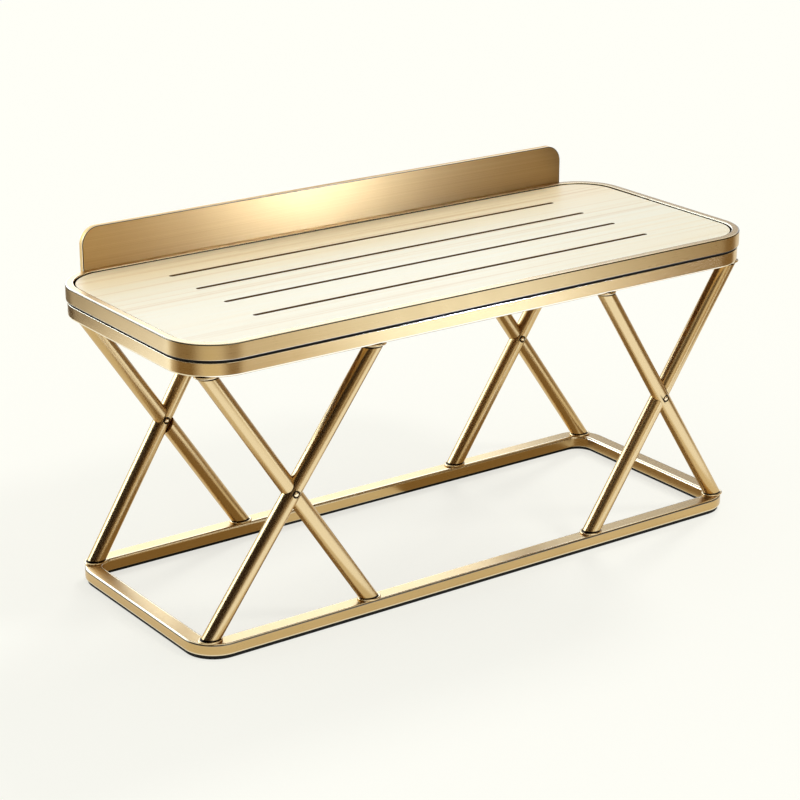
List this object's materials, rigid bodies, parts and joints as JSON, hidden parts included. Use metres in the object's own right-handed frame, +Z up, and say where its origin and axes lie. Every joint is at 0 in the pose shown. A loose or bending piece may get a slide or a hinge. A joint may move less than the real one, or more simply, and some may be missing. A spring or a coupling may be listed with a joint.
{
  "type": "luggage bench",
  "caption": "Hotel luggage bench: grooved timber panel in a rounded brass tray with a low back plate, on crossed tube legs that stand on a floor ring.",
  "frame": {"origin": "on the floor, under the middle of the bench's outer box", "axes": "+X along the length, to the right seen from the front; +Y towards the back plate; +Z up"},
  "size_m": [1, 0.4204, 0.522],
  "materials": {
    "brass": "satin brushed champagne brass",
    "timber": "pale straight-grained timber, matt lacquer",
    "rubber": "matt black rubber",
    "steel": "zinc-plated screw steel"
  },
  "bodies": {
    "root": {"wood_panel": "timber", "tray_rim": "brass", "shadow_spacer": "rubber", "top_frame": "brass", "cross_bearer_1": "brass", "cross_bearer_2": "brass", "cross_bearer_3": "brass", "panel_screw_1": "steel", "panel_screw_2": "steel", "panel_screw_3": "steel", "panel_screw_4": "steel", "panel_screw_5": "steel", "panel_screw_6": "steel", "back_plate": "brass", "plate_screw_1": "brass", "plate_screw_2": "brass", "plate_screw_3": "brass", "plate_screw_4": "brass", "base_ring": "brass", "floor_pad": "rubber", "front_left_outer_tube": "brass", "front_left_inner_tube": "brass", "front_right_outer_tube": "brass", "front_right_inner_tube": "brass", "rear_left_outer_tube": "brass", "rear_left_inner_tube": "brass", "rear_right_outer_tube": "brass", "rear_right_inner_tube": "brass", "front_left_outer_tube_foot_collar": "brass", "front_left_outer_tube_top_collar": "brass", "front_left_inner_tube_foot_collar": "brass", "front_left_inner_tube_top_collar": "brass", "front_right_outer_tube_foot_collar": "brass", "front_right_outer_tube_top_collar": "brass", "front_right_inner_tube_foot_collar": "brass", "front_right_inner_tube_top_collar": "brass", "rear_left_outer_tube_foot_collar": "brass", "rear_left_outer_tube_top_collar": "brass", "rear_left_inner_tube_foot_collar": "brass", "rear_left_inner_tube_top_collar": "brass", "rear_right_outer_tube_foot_collar": "brass", "rear_right_outer_tube_top_collar": "brass", "rear_right_inner_tube_foot_collar": "brass", "rear_right_inner_tube_top_collar": "brass", "front_left_rivet": "brass", "front_right_rivet": "brass", "rear_left_rivet": "brass", "rear_right_rivet": "brass"}
  },
  "joints": []
}
